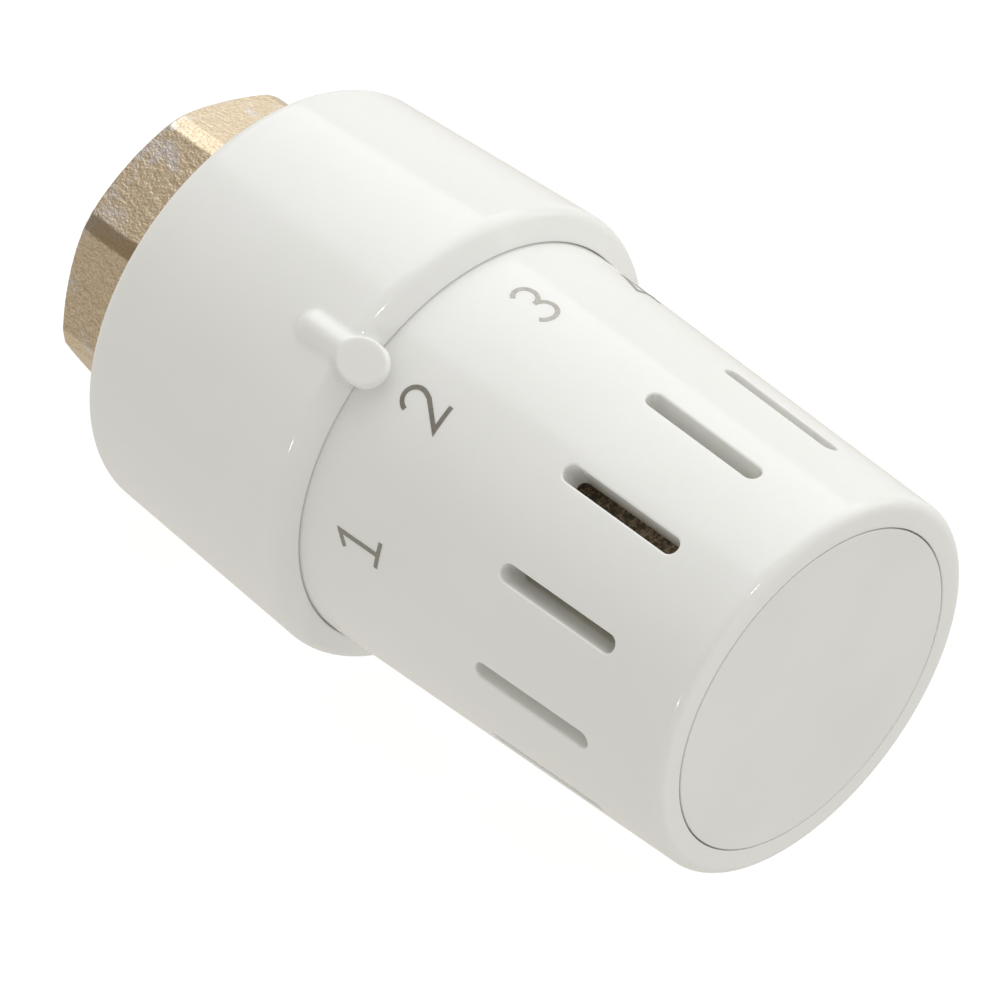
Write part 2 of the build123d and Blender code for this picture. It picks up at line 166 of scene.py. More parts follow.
# ---- printed scale ----
SCALE_STEP = 40.0
FROST_STEP = 60.0
MARK_HEIGHT = 5.3
MARK_STROKE = 0.48
MARK_BASE_X = 49.4
MARK_PROUD = 0.02
MARK_SUNK = 0.05


# ======================================================================================== mesh helpers
def around(x, radius, angle):
    """Points at a place along the axis, a radius and an angle in radians."""
    x, radius, angle = np.broadcast_arrays(x, radius, angle)
    return np.stack([x, -radius * np.sin(angle), radius * np.cos(angle)], axis=-1)


def grid_faces(rows, columns, wrap_rows=False, wrap_columns=True):
    """Quads over a grid of points numbered row by row."""
    i = np.arange(rows if wrap_rows else rows - 1)
    j = np.arange(columns if wrap_columns else columns - 1)
    i, j = np.meshgrid(i, j, indexing="ij")
    i2, j2 = (i + 1) % rows, (j + 1) % columns
    quads = [i * columns + j, i * columns + j2, i2 * columns + j2, i2 * columns + j]
    return np.stack(quads, axis=-1).reshape(-1, 4)


def joined(*meshes):
    """One list of points and one of faces from several (points, faces) pairs."""
    points, faces, start = [], [], 0
    for p, f in meshes:
        p = np.asarray(p, float).reshape(-1, 3)
        points.append(p)
        faces.append(np.asarray(f) + start)
        start += len(p)
    return np.concatenate(points), np.concatenate(faces)


def place_piece(name, mesh, material, body):
    """A mesh as a piece of one material that rides on a body."""
    mesh.materials.append(material)
    piece = bpy.data.objects.new(name, mesh)
    bpy.context.scene.collection.objects.link(piece)
    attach(piece, body)
    return piece


def make_piece(name, points, faces, material, body, slot, replaces, sharp=35.0):
    """A closed, welded, smooth-shaded piece that stands for CAD nodes. Points are in millimetres."""
    mesh = bpy.data.meshes.new(name)
    mesh.from_pydata((np.asarray(points) * MM).tolist(), [], np.asarray(faces).tolist())
    work = bmesh.new()
    work.from_mesh(mesh)
    bmesh.ops.remove_doubles(work, verts=work.verts, dist=1e-6)
    bmesh.ops.recalc_face_normals(work, faces=work.faces)
    work.to_mesh(mesh)
    work.free()
    mesh.shade_smooth()
    mesh.set_sharp_from_angle(angle=radians(sharp))
    piece = place_piece(name, mesh, material, body)
    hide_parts(*replaces)
    return piece


def outline(*corners, closed=True, segments=7, support=0.08):
    """An (x, radius) outline from (x, radius, rounding) corners: arcs, with support points beside them."""
    points = []
    count = len(corners)
    for k, (x, r, size) in enumerate(corners):
        here = np.array([x, r])
        if size == 0 or (not closed and k in (0, count - 1)):
            points.append([here])
            continue
        back = np.array(corners[k - 1][:2]) - here
        ahead = np.array(corners[(k + 1) % count][:2]) - here
        room_back, room_ahead = np.linalg.norm(back), np.linalg.norm(ahead)
        back, ahead = back / room_back, ahead / room_ahead
        half = np.arccos(np.clip(back @ ahead, -1, 1)) / 2
        reach = size / tan(half)
        middle = here + (back + ahead) / np.linalg.norm(back + ahead) * size / sin(half)
        start, end = here + back * reach, here + ahead * reach
        a0 = atan2(*(start - middle)[::-1])
        turn = (atan2(*(end - middle)[::-1]) - a0 + pi) % (2 * pi) - pi
        sweep = [a0 + turn * t for t in np.linspace(0, 1, segments + 1)]
        arc = [middle + size * np.array([cos(a), sin(a)]) for a in sweep]
        before = [start + back * support] if room_back > reach + 2 * support else []
        after = [end + ahead * support] if room_ahead > reach + 2 * support else []
        points.append(before + arc + after)
    return np.concatenate([np.array(p) for p in points])


def turned(profile, columns=288, closed=True):
    """The surface that an (x, radius) outline sweeps round the axis."""
    angle = np.linspace(0, 2 * pi, columns, endpoint=False) + radians(VENT_ANGLE)
    points = around(profile[:, :1], profile[:, 1:], angle[None, :])
    return points.reshape(-1, 3), grid_faces(len(profile), columns, wrap_rows=closed)


# ======================================================================================== dial knob
def cone_r(x):
    """Outer radius of the knob: a straight skirt, then a taper from the collar's lip to the front."""
    taper = (SKIRT_R - FRONT_R) / (FRONT_X - LIP_X)
    return SKIRT_R - taper * np.maximum(np.asarray(x) - LIP_X, 0)


def vent_loop(grow):
    """A round-ended slot's outline, grown by an amount, as (along, across) points that match sector_loop."""
    half = VENT_LENGTH / 2 - VENT_WIDTH / 2
    radius = VENT_WIDTH / 2 + grow
    up = np.linspace(pi / 4, pi / 2, VENT_CORNER_STEPS, endpoint=False)
    right = np.stack([half + radius * np.cos(up), radius * np.sin(up)], -1)
    along = np.linspace(half, -half, VENT_SIDE_STEPS + 1)
    straight = np.stack([along, np.full(len(along), radius)], -1)
    left = right[:0:-1] * (-1, 1)
    tip = np.linspace(3 * pi / 4, 5 * pi / 4, VENT_END_STEPS, endpoint=False)
    rear = np.stack([-half + radius * np.cos(tip), radius * np.sin(tip)], -1)
    half_loop = np.concatenate([right, straight, left, rear])
    return np.concatenate([half_loop, -half_loop])


def sector_loop():
    """The outline of a vent's sector as (along, angle) points in step with vent_loop."""
    side_steps = VENT_SIDE_STEPS + 2 * VENT_CORNER_STEPS
    along = np.linspace(VENT_FIELD, -VENT_FIELD, side_steps, endpoint=False)
    across = np.linspace(pi / VENTS, -pi / VENTS, VENT_END_STEPS, endpoint=False)
    top = np.stack([along, np.full(len(along), pi / VENTS)], -1)
    rear = np.stack([np.full(len(across), -VENT_FIELD), across], -1)
    half_loop = np.concatenate([top, rear])
    return np.concatenate([half_loop, -half_loop])


def skin_ring(grow, share, inset):
    """A ring on the cone between a vent's outline (share 0) and its sector's outline (share 1)."""
    loop = vent_loop(grow)
    edge = sector_loop()
    radius = cone_r(VENT_X + loop[:, 0]) - inset
    angle = np.arcsin(loop[:, 1] / radius)
    along = (1 - share) * loop[:, 0] + share * edge[:, 0]
    angle = (1 - share) * angle + share * edge[:, 1]
    return around(VENT_X + along, cone_r(VENT_X + along) - inset, angle)


def wall_ring(grow, inset=None, height=None):
    """A ring on a vent's straight wall: at a depth below the outer skin, or at a height from the axis."""
    loop = vent_loop(grow)
    x, across = VENT_X + loop[:, 0], loop[:, 1]
    if height is None:
        height = np.sqrt(cone_r(x) ** 2 - across**2) - inset
    return np.stack([x, -across, np.full(len(x), 1.0) * height], -1)


def vent_sector():
    """One sector of the knob's wall with its vent: outer skin, duct and inner skin."""
    spread = (1, 0.8, 0.6, 0.42, 0.27, 0.15, 0.07, 0.025, 0.006)
    rings = [skin_ring(VENT_LIP, share, 0) for share in spread]
    for step in np.linspace(0, pi / 2, 8):
        rings.append(wall_ring(VENT_LIP * (1 - sin(step)), inset=VENT_LIP * (1 - cos(step))))
    skin = rings[-1][:, 2]
    for share in (0.02, 0.3, 0.6, 0.95, 1):
        rings.append(wall_ring(0, height=skin * (1 - share) + VENT_FLOOR_R * share))
    rings.append(wall_ring(DUCT_WALL / 2, height=VENT_FLOOR_R))
    rings.append(wall_ring(DUCT_WALL, height=VENT_FLOOR_R))
    rings.append(wall_ring(DUCT_WALL, inset=WALL + 0.4))
    rings += [skin_ring(DUCT_WALL, share, WALL) for share in (0, 0.02, 0.3, 0.6, 1)]
    rings = np.array(rings)
    return rings.reshape(-1, 3), grid_faces(len(rings), rings.shape[1])


def turn_by(points, angle):
    """Points turned round the axis by an angle in radians, from +Z towards -Y."""
    x, y, z = np.asarray(points).T
    return np.stack([x, y * cos(angle) - z * sin(angle), y * sin(angle) + z * cos(angle)], -1)


def knob_mesh():
    """The knob: a turned shell whose vent band is made of twelve sectors."""
    rear, front = VENT_X - VENT_FIELD, VENT_X + VENT_FIELD
    recess_r = DISC_R + DISC_GAP
    floor_x = FRONT_X - DISC_THICKNESS
    inner_x = floor_x - END_WALL
    behind = outline(
        (rear, cone_r(rear), 0),
        (LIP_X + 0.5, cone_r(LIP_X + 0.5), 0),
        (LIP_X - 0.5, SKIRT_R, 0),
        (SKIRT_REAR_X, SKIRT_R, SKIRT_ROUND),
        (SKIRT_REAR_X, SKIRT_R - WALL, SKIRT_ROUND),
        (LIP_X, SKIRT_R - WALL, 0),
        (rear, cone_r(rear) - WALL, 0),
        closed=False,
    )
    ahead = outline(
        (front, cone_r(front), 0),
        (FRONT_X, FRONT_R, FRONT_ROUND),
        (FRONT_X, recess_r, RECESS_ROUND),
        (floor_x, recess_r, 0),
        (floor_x, 0, 0),
        closed=False,
        segments=12,
    )
    inside = outline(
        (inner_x, 0, 0),
        (inner_x, cone_r(inner_x) - WALL, 1.5),
        (front, cone_r(front) - WALL, 0),
        closed=False,
    )
    extra = np.linspace(LIP_X + 0.5, rear, 8)[1:-1][::-1]
    behind = np.concatenate([behind[:1], np.stack([extra, cone_r(extra)], -1), behind[1:]])
    parts = [turned(profile, closed=False) for profile in (behind, ahead, inside)]
    sector = vent_sector()
    for k in range(VENTS):
        parts.append((turn_by(sector[0], radians(VENT_ANGLE) + 2 * pi / VENTS * k), sector[1]))
    return joined(*parts)


# ======================================================================================== end disc
def disc_mesh():
    """The inlay in the knob's end, with a fine rounded edge."""
    back_x = FRONT_X - DISC_THICKNESS + 0.02
    profile = outline(
        (FRONT_X, 0, 0),
        (FRONT_X, DISC_R, DISC_ROUND),
        (back_x, DISC_R, DISC_ROUND),
        (back_x, 0, 0),
        closed=False,
    )
    rings = np.linspace(0, DISC_R - 1, 6)[1:]
    profile = np.concatenate([profile[:1], np.stack([np.full(5, FRONT_X), rings], -1), profile[1:]])
    return turned(profile, closed=False)


# ======================================================================================== collar
def polygon_distance(profile, x, r):
    """Signed distance from (x, r) points to a closed outline, negative inside."""
    nearest = np.full(np.shape(x), np.inf)
    inside = np.zeros(np.shape(x), bool)
    for (x0, r0), (x1, r1) in zip(profile, np.roll(profile, -1, axis=0)):
        dx, dr = x1 - x0, r1 - r0
        share = np.clip(((x - x0) * dx + (r - r0) * dr) / (dx * dx + dr * dr), 0, 1)
        nearest = np.minimum(nearest, (x - x0 - share * dx) ** 2 + (r - r0 - share * dr) ** 2)
        if r0 != r1:
            crosses = (r0 > r) != (r1 > r)
            inside ^= crosses & (x < x0 + (r - r0) * dx / dr)
    return np.sqrt(nearest) * np.where(inside, -1, 1)


def smooth_union(a, b, size):
    """The lower of two distances, with a soft fillet of about that size where they meet."""
    overlap = np.maximum(size - np.abs(a - b), 0) / size
    return np.minimum(a, b) - overlap**3 * size / 6


def collar_profile():
    """The collar's wall as an (x, radius) outline."""
    return outline(
        (COLLAR_REAR_X, COLLAR_HOLE_R, 0.5),
        (COLLAR_REAR_X, COLLAR_REAR_R, COLLAR_REAR_ROUND),
        (COLLAR_CORNER_X, COLLAR_CORNER_R, COLLAR_CORNER_ROUND),
        (LIP_X, COLLAR_LIP_R, COLLAR_LIP_ROUND),
        (COLLAR_BORE_REAR_X, COLLAR_LIP_R, 0.6),
        (COLLAR_REAR_X + COLLAR_REAR_WALL, COLLAR_REAR_BORE_R, 0.6),
        (COLLAR_REAR_X + COLLAR_REAR_WALL, COLLAR_HOLE_R, 0.3),
        segments=16,
    )


def pointer_frame(y, z):
    """Height above the axis and place across, for points seen square to the pointer."""
    a = radians(POINTER_ANGLE)
    return -y * sin(a) + z * cos(a), y * cos(a) + z * sin(a)


def pointer_distance(x, y, z):
    """Distance to the pointer before its face is cut: a half-round ridge that runs into a round pad."""
    height, across = pointer_frame(y, z)
    past = x - np.clip(x, POINTER_TAIL_X, POINTER_PAD_X)
    ridge = np.sqrt(past**2 + across**2 + (height - POINTER_RIDGE_R) ** 2) - POINTER_WIDTH / 2
    side = np.sqrt((x - POINTER_PAD_X) ** 2 + across**2) - POINTER_PAD_R
    pad = -smooth_union(-side, height - POINTER_BASE_R, POINTER_RIM)
    return smooth_union(ridge, pad, 0.5)


def with_pointer(shell, x, y, z):
    """The collar's distance joined with the pointer, cut by the pad's slanted face and clear of the knob."""
    r, slant = np.sqrt(y * y + z * z), radians(POINTER_SLANT)
    height, _ = pointer_frame(y, z)
    face = (height - POINTER_TOP_R) * cos(slant) + (x - POINTER_PAD_X) * sin(slant)
    mixed = smooth_union(shell, pointer_distance(x, y, z), POINTER_BLEND)
    mixed = -smooth_union(-mixed, -face, POINTER_RIM)
    return np.where(x > COLLAR_BORE_REAR_X, np.maximum(mixed, COLLAR_LIP_R - KNOB_CLEARANCE - r), mixed)


def collar_field(x, y, z):
    """Signed distance to the collar with its pointer."""
    r = np.sqrt(y * y + z * z)
    shell = polygon_distance(collar_profile(), x, r)
    near = pointer_frame(y, z)[0] > COLLAR_LIP_R - 3
    return np.where(near, with_pointer(shell, x, y, z), shell)


def collar_samples(xs, rs, angles):
    """The collar's field on a grid round the axis; the pointer is only worked out where it is near."""
    x, r = np.meshgrid(xs, rs, indexing="ij")
    shell = polygon_distance(collar_profile(), x, r)
    values = np.repeat(shell[:, :, None], len(angles), axis=2)
    near = np.abs((angles - radians(POINTER_ANGLE) + pi) % (2 * pi) - pi) < radians(POINTER_REACH)
    px, pr, pa = np.meshgrid(xs, rs, angles[near], indexing="ij")
    spot = around(px, pr, pa)
    values[:, :, near] = with_pointer(values[:, :, near], spot[..., 0], spot[..., 1], spot[..., 2])
    return values


def net_mesh(values, xs, rs, angles):
    """Quads where a sampled field changes sign: one point in each mixed cell of a grid round the axis."""
    turn = np.concatenate([angles, angles[:1] + 2 * pi])
    values = np.concatenate([values, values[:, :, :1]], axis=2)
    inside = values < 0
    shape = np.array(inside.shape) - 1
    corners = [(i, j, k) for i in (0, 1) for j in (0, 1) for k in (0, 1)]

    def at_corner(array, corner):
        """Every cell's value at one of its eight corners."""
        return array[tuple(slice(s, s + n) for s, n in zip(corner, shape))]

    filled = sum(at_corner(inside, corner).astype(np.int8) for corner in corners)
    cells = np.argwhere((filled > 0) & (filled < 8))
    number = np.full(shape, -1)
    number[tuple(cells.T)] = np.arange(len(cells))
    axes = (xs, rs, turn)
    total, hits = np.zeros((len(cells), 3)), np.zeros(len(cells))
    for start in corners:
        for axis in range(3):
            if start[axis]:
                continue
            end = tuple(s + (n == axis) for n, s in enumerate(start))
            i0, i1 = cells + start, cells + end
            v0, v1 = values[tuple(i0.T)], values[tuple(i1.T)]
            cross = (v0 < 0) != (v1 < 0)
            share = np.where(cross, v0 / np.where(cross, v0 - v1, 1), 0)
            p0 = np.stack([axes[n][i0[:, n]] for n in range(3)], -1)
            p1 = np.stack([axes[n][i1[:, n]] for n in range(3)], -1)
            total += np.where(cross[:, None], p0 + share[:, None] * (p1 - p0), 0)
            hits += cross
    place = total / hits[:, None]
    points = around(place[:, 0], place[:, 1], place[:, 2])
    faces = []
    for axis in range(3):
        b, c = [n for n in range(3) if n != axis]
        low = [slice(None)] * 3
        high = [slice(None)] * 3
        low[axis], high[axis] = slice(0, -1), slice(1, None)
        edges = np.argwhere(inside[tuple(low)] != inside[tuple(high)])
        edges = edges[edges[:, 2] < shape[2]]
        quad = []
        for db, dc in ((0, 0), (1, 0), (1, 1), (0, 1)):
            cell = edges.copy()
            cell[:, b] -= db
            cell[:, c] -= dc
            cell[:, 2] %= shape[2]
            quad.append(number[tuple(cell.T)])
        faces.append(np.stack(quad, -1))
    return points, np.concatenate(faces)


def settle(points, field, rounds=3, step=0.01):
    """Move points along the field's slope onto its zero surface."""
    for _ in range(rounds):
        x, y, z = points.T
        value = field(x, y, z)
        slope = np.stack(
            [
                field(x + step, y, z) - field(x - step, y, z),
                field(x, y + step, z) - field(x, y - step, z),
                field(x, y, z + step) - field(x, y, z - step),
            ],
            -1,
        ) / (2 * step)
        length = np.maximum((slope**2).sum(1), 0.25)
        points = points - slope * np.clip(value / length, -0.15, 0.15)[:, None]
    return points


def steps(*stretches):
    """Increasing grid positions from (start, end, largest step) stretches."""
    out = [np.linspace(a, b, int(np.ceil((b - a) / size)), endpoint=False) for a, b, size in stretches]
    return np.concatenate(out + [[stretches[-1][1]]])


def collar_mesh():
    """The collar with its pointer as one skin, finest round the pointer and the edges."""
    rear, tail = COLLAR_REAR_X, POINTER_TAIL_X - 3
    xs = steps((rear - 0.4, rear + 2.2, 0.14), (rear + 2.2, tail, 0.9), (tail, POINTER_PAD_X + 3, 0.11))
    rs = steps((COLLAR_HOLE_R - 0.4, 19.2, 0.14), (19.2, 20.8, 0.5), (20.8, 26.2, 0.11))
    start, end = POINTER_ANGLE - 14, POINTER_ANGLE + 14
    angles = np.radians(steps((start, end, 0.27), (end, start + 360, 1.25))[:-1])
    points, faces = net_mesh(collar_samples(xs, rs, angles), xs, rs, angles)
    return settle(points, collar_field), faces


# ======================================================================================== union nut
def grain(rows, columns, seed, blur=2):
    """Seeded rough texture that closes on itself along the columns, about -1 to 1."""
    field = np.random.default_rng(seed).standard_normal((rows, columns))
    for _ in range(blur):
        field = (np.roll(field, 1, 1) + 2 * field + np.roll(field, -1, 1)) / 4
        padded = np.pad(field, ((1, 1), (0, 0)), mode="edge")
        field = (padded[:-2] + 2 * field + padded[2:]) / 4
    return field / np.abs(field).max()


def soft_min(a, b, size):
    """The lower of two radii, rounded off over about that size."""
    overlap = np.maximum(size - np.abs(a - b), 0) / size
    return np.minimum(a, b) - overlap**2 * size / 4


def nut_outer_r(x, angle):
    """Radius of the nut's outside: flat faces, flat corner strips and a turned rear rim."""
    sector = 2 * pi / NUT_SIDES
    first_face = radians(NUT_ANGLE + 180 / NUT_SIDES - 90)
    from_face = (angle - first_face + sector / 2) % sector - sector / 2
    from_corner = (angle - first_face) % sector - sector / 2
    corner_r = NUT_FLATS / 2 / cos(sector / 2)
    strip = corner_r - NUT_CORNER_CUT * sin(sector / 2)
    prism = soft_min(NUT_FLATS / 2 / np.cos(from_face), strip / np.cos(from_corner), 0.06)
    return soft_min(prism, NUT_FLATS / 2 + NUT_RIM_SLOPE * (x - NUT_REAR_X), 0.3)


def thread_r(x, angle):
    """Radius inside the nut: a right-handed M30 x 1.5 thread that fades out inside and ends in a chamfer."""
    phase = (x / THREAD_PITCH + angle / (2 * pi)) % 1
    ridge = np.clip((0.5 - np.abs(phase - 0.5)) * 2 * 1.6 - 0.3, 0, 1)
    fade = np.clip((THREAD_END_X - x) / THREAD_FADE, 0, 1)
    depth = (THREAD_ROOT_R - THREAD_R) * (1 - ridge * fade)
    mouth = THREAD_R + NUT_MOUTH_CHAMFER + NUT_REAR_X - x
    return np.maximum(THREAD_R + depth, mouth)


def nut_mesh():
    """The nut as rows of points round the axis: outside, front, lip, relief, thread and rear face."""
    columns, outer_rows, thread_rows = 896, 92, 66
    angle = np.linspace(0, 2 * pi, columns, endpoint=False)[None, :]
    x = NUT_REAR_X + (NUT_FRONT_X - NUT_REAR_X) * np.linspace(0, 1, outer_rows)[:, None] ** 1.25
    size = NUT_EDGE_ROUND
    edge = size - np.minimum(NUT_FRONT_X - x, size)
    outside = nut_outer_r(x, angle) - (size - np.sqrt(np.maximum(size**2 - edge**2, 0)))
    blasted = grain(outer_rows, columns, seed=11) + 0.6 * grain(outer_rows, columns, seed=12, blur=8)
    outside = outside + NUT_BLAST_DEPTH * blasted
    rows = [around(x, outside, angle)]
    front = outside[-1]
    for share in (0.1, 0.5, 0.93):
        rows.append(around(NUT_FRONT_X, front * (1 - share) + NUT_LIP_R * share, angle))
    inner = (
        (NUT_FRONT_X - 0.3, NUT_LIP_R),
        (NUT_LIP_X + 0.2, NUT_LIP_R),
        (NUT_LIP_X, NUT_LIP_R + 0.2),
        (NUT_LIP_X, THREAD_ROOT_R - 0.4),
        (NUT_LIP_X - 0.3, THREAD_ROOT_R),
        (THREAD_END_X, THREAD_ROOT_R),
    )
    for place, radius in inner:
        rows.append(around(place, radius, angle))
    back = np.linspace(THREAD_END_X - 0.1, NUT_REAR_X, thread_rows)[:, None]
    rows.append(around(back, thread_r(back, angle), angle))
    mouth, rim = thread_r(NUT_REAR_X, angle), outside[:1]
    for share in (0.35, 0.7):
        rows.append(around(NUT_REAR_X, mouth * (1 - share) + rim * share, angle))
    rows = np.concatenate([row.reshape(-1, columns, 3) for row in rows])
    return rows.reshape(-1, 3), grid_faces(len(rows), columns, wrap_rows=True)


# ======================================================================================== overtravel spring
def coil_mesh():
    """Round wire along a helix that fills the spring's box, with its two ends rounded off."""
    low, high = box_mm("overtravel_spring")
    wire = SPRING_WIRE / 2
    radius, rise = high[2] - wire, (high[0] - low[0] - 2 * wire) / (2 * pi * SPRING_TURNS)
    turn = np.linspace(0, 2 * pi * SPRING_TURNS, SPRING_TURN_STEPS * SPRING_TURNS + 1)
    turn = np.concatenate([turn[:1], turn[:1], turn, turn[-1:], turn[-1:]])
    thick = np.full(len(turn), wire)
    thick[[0, 1, -2, -1]] = (0, 0.6 * wire, 0.6 * wire, 0)
    around_wire = np.linspace(0, 2 * pi, SPRING_WIRE_STEPS, endpoint=False)
    outwards = np.stack([0 * turn, -np.sin(turn), np.cos(turn)], -1)
    ahead = np.stack([0 * turn, -np.cos(turn), -np.sin(turn)], -1)
    across = np.array([radius, 0, 0]) - rise * ahead
    across /= np.linalg.norm(across, axis=1)[:, None]
    section = np.cos(around_wire)[:, None, None] * outwards
    section = section + np.sin(around_wire)[:, None, None] * across
    centre = around(low[0] + wire + rise * turn, radius, turn)
    points = (centre + section * thick[:, None]).transpose(1, 0, 2)
    return points.reshape(-1, 3), grid_faces(len(turn), len(around_wire))


def add_spring(metal):
    """The overtravel spring, a coil that rides on the plunger."""
    stands_for = "overtravel_spring"
    coil = make_piece("overtravel_coil", *coil_mesh(), metal, "plunger", "spring_steel", [stands_for])
    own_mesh(coil)


# ======================================================================================== printed scale
def arc(centre, radii, start, end, count=16):
    """Points on an ellipse arc, angles in degrees anticlockwise from +x."""
    a = np.radians(np.linspace(start, end, count))
    return [(centre[0] + radii[0] * cos(t), centre[1] + radii[1] * sin(t)) for t in a]


def marks():
    """The centre lines of each mark's strokes on a field one unit high, keyed by the mark's name."""
    w = MARK_STROKE / MARK_HEIGHT
    low, top = w / 2, 1 - w / 2
    flake = []
    for k in range(6):
        a = radians(60 * k + 30)
        along, side = np.array([cos(a), sin(a)]), np.array([-sin(a), cos(a)])
        centre = np.array([0, 0.5])
        flake.append([centre, centre + along * 0.46])
        for turn in (-1, 1):
            fork = centre + along * 0.26
            flake.append([fork, fork + along * 0.13 + turn * side * 0.13])
    return {
        "frost": flake,
        "1": [[(-0.2, 0.8), (0.05, 0.97), (0.05, low)], [(-0.21, low), (0.31, low)]],
        "2": [arc((0, 0.71), (0.235, 0.25), 165, -20) + [(0.17, 0.5), (-0.235, low), (0.27, low)]],
        "3": [
            arc((-0.02, 0.735), (0.22, 0.225), 150, -90, 14),
            arc((-0.02, 0.275), (0.255, 0.235), 90, -150, 16),
        ],
        "4": [[(0.12, 0), (0.12, 0.985)], [(0.12, 0.985), (-0.28, 0.3), (0.29, 0.3)]],
        "5": [[(0.21, top), (-0.17, top), (-0.2, 0.56)] + arc((-0.01, 0.32), (0.25, 0.275), 105, -140, 16)],
    }


def stroke_polygon(line, width, step=0.05):
    """An even stroke along a line, mitred at its bends, with points every step, wound anticlockwise."""
    line = [np.array(p, float) for p in line]
    dense = [line[0]]
    for a, b in zip(line, line[1:]):
        parts = max(1, int(np.ceil(np.linalg.norm(b - a) / step)))
        dense += [a + (b - a) * (k + 1) / parts for k in range(parts)]
    dense = np.array(dense)
    legs = np.diff(dense, axis=0)
    legs /= np.linalg.norm(legs, axis=1)[:, None]
    before, after = np.vstack([legs[:1], legs]), np.vstack([legs, legs[-1:]])
    normal = np.stack([-(before + after)[:, 1], (before + after)[:, 0]], -1)
    normal /= np.linalg.norm(normal, axis=1)[:, None]
    square = np.stack([-before[:, 1], before[:, 0]], -1)
    mitre = np.minimum(1 / np.maximum((normal * square).sum(1), 0.35), 2.6)
    offset = normal * (mitre * width / 2)[:, None]
    loop = np.concatenate([dense + offset, (dense - offset)[::-1]])
    ahead = np.roll(loop, -1, axis=0)
    area = (loop[:, 0] * ahead[:, 1] - ahead[:, 0] * loop[:, 1]).sum() / 2
    return loop if area > 0 else loop[::-1]


def mark_mesh(strokes, middle):
    """One printed mark as a thin closed film on the knob's taper, its foot towards the front."""
    flat, rings = [], []
    for line in strokes:
        loop = stroke_polygon(line, MARK_STROKE / MARK_HEIGHT)
        rings.append(list(range(len(flat), len(flat) + len(loop))))
        flat += [Vector(p) for p in loop]
    verts, _, faces, _, _, owners = delaunay_2d_cdt(flat, [], rings, 1, 1e-5)
    faces = [list(face) for face, owned_by in zip(faces, owners) if owned_by]
    plan = np.array([v[:] for v in verts]) * MARK_HEIGHT
    count = len(plan)
    x = MARK_BASE_X - plan[:, 1]
    angle = radians(middle) - plan[:, 0] / cone_r(x)
    top = around(x, cone_r(x) + MARK_PROUD, angle)
    bottom = around(x, cone_r(x) - MARK_SUNK, angle)
    edges = [edge for face in faces for edge in zip(face, face[1:] + face[:1])]
    shared = set(edges)
    under = [[k + count for k in reversed(face)] for face in faces]
    rim = [[b, a, a + count, b + count] for a, b in edges if (b, a) not in shared]
    return np.concatenate([top, bottom]), faces + under + rim


def add_scale(ink):
    """The dial's marks: one to five equally spaced, with two at the pointer, and frost protection."""
    places = {name: POINTER_ANGLE + SCALE_STEP * (2 - int(name)) for name in "12345"}
    places["frost"] = places["1"] + FROST_STEP
    strokes = marks()
    for name, place in places.items():
        points, faces = mark_mesh(strokes[name], place)
        mesh = bpy.data.meshes.new("scale_" + name)
        mesh.from_pydata((points * MM).tolist(), [], faces)
        mesh.validate()
        place_piece("scale_" + name, mesh, ink, "dial")


# ======================================================================================== materials
def feed(tree, socket, value):
    """Link another node's output to a socket, or set the socket's own value."""
    if isinstance(value, bpy.types.NodeSocket):
        tree.links.new(value, socket)
    else:
        socket.default_value = value


def set_inputs(tree, shader, **inputs):
    """Feed a node's sockets, named with _ for a space."""
    for key, value in inputs.items():
        feed(tree, shader.inputs[key.replace("_", " ")], value)


def node(tree, kind, props=None, **inputs):
    """Add a shader node with its properties and its fed sockets."""
    made = tree.nodes.new(kind)
    for key, value in (props or {}).items():
        setattr(made, key, value)
    set_inputs(tree, made, **inputs)
    return made


def two_input(tree, kind, operation, a, b):
    """Add a maths node, whose two sockets have no names of their own."""
    made = node(tree, kind, {"operation": operation})
    feed(tree, made.inputs[0], a)
    feed(tree, made.inputs[1], b)
    return made


def math_node(tree, operation, a, b=0.0):
    """The result of a calculation with one or two values."""
    return two_input(tree, "ShaderNodeMath", operation, a, b).outputs[0]


def vector_value(tree, operation, a, b):
    """The single value that a calculation with two vectors gives."""
    return two_input(tree, "ShaderNodeVectorMath", operation, a, b).outputs["Value"]


def rescale(tree, value, low, high, to_low, to_high, props=None):
    """A value carried over from one range to another and held at its ends."""
    ranges = {"From_Min": low, "From_Max": high, "To_Min": to_low, "To_Max": to_high}
    return node(tree, "ShaderNodeMapRange", props, Value=value, **ranges).outputs[0]


def smooth(tree, value, low, high, to_low=0.0, to_high=1.0):
    """A value eased from one level to another between two bounds."""
    return rescale(tree, value, low, high, to_low, to_high, {"interpolation_type": "SMOOTHSTEP"})


def mix(tree, share, a, b):
    """A colour between two others."""
    return node(tree, "ShaderNodeMixRGB", Fac=share, Color1=a, Color2=b).outputs[0]


def rgb(red, green, blue):
    """An opaque linear colour."""
    return (red, green, blue, 1.0)


def start_material(name):
    """A material whose pattern coordinates are millimetres in the head's frame."""
    made = bpy.data.materials.new(name)
    made.use_nodes = True
    tree = made.node_tree
    tree.nodes.clear()
    shader = node(tree, "ShaderNodeBsdfPrincipled")
    out = node(tree, "ShaderNodeOutputMaterial", Surface=shader.outputs[0])
    out.is_active_output = True
    place = node(tree, "ShaderNodeTexCoord").outputs["Object"]
    where = node(tree, "ShaderNodeVectorMath", {"operation": "SCALE"}, Vector=place, Scale=1 / MM).outputs[0]
    return made, tree, shader, where


def noise(tree, where, per_mm, detail=2.0, roughness=0.5, distortion=0.0):
    """Cloudy pattern of 0 to 1 with that many features to a millimetre."""
    made = node(tree, "ShaderNodeTexNoise", Vector=where, Scale=per_mm, Detail=detail)
    set_inputs(tree, made, Roughness=roughness, Distortion=distortion)
    return made.outputs[0]


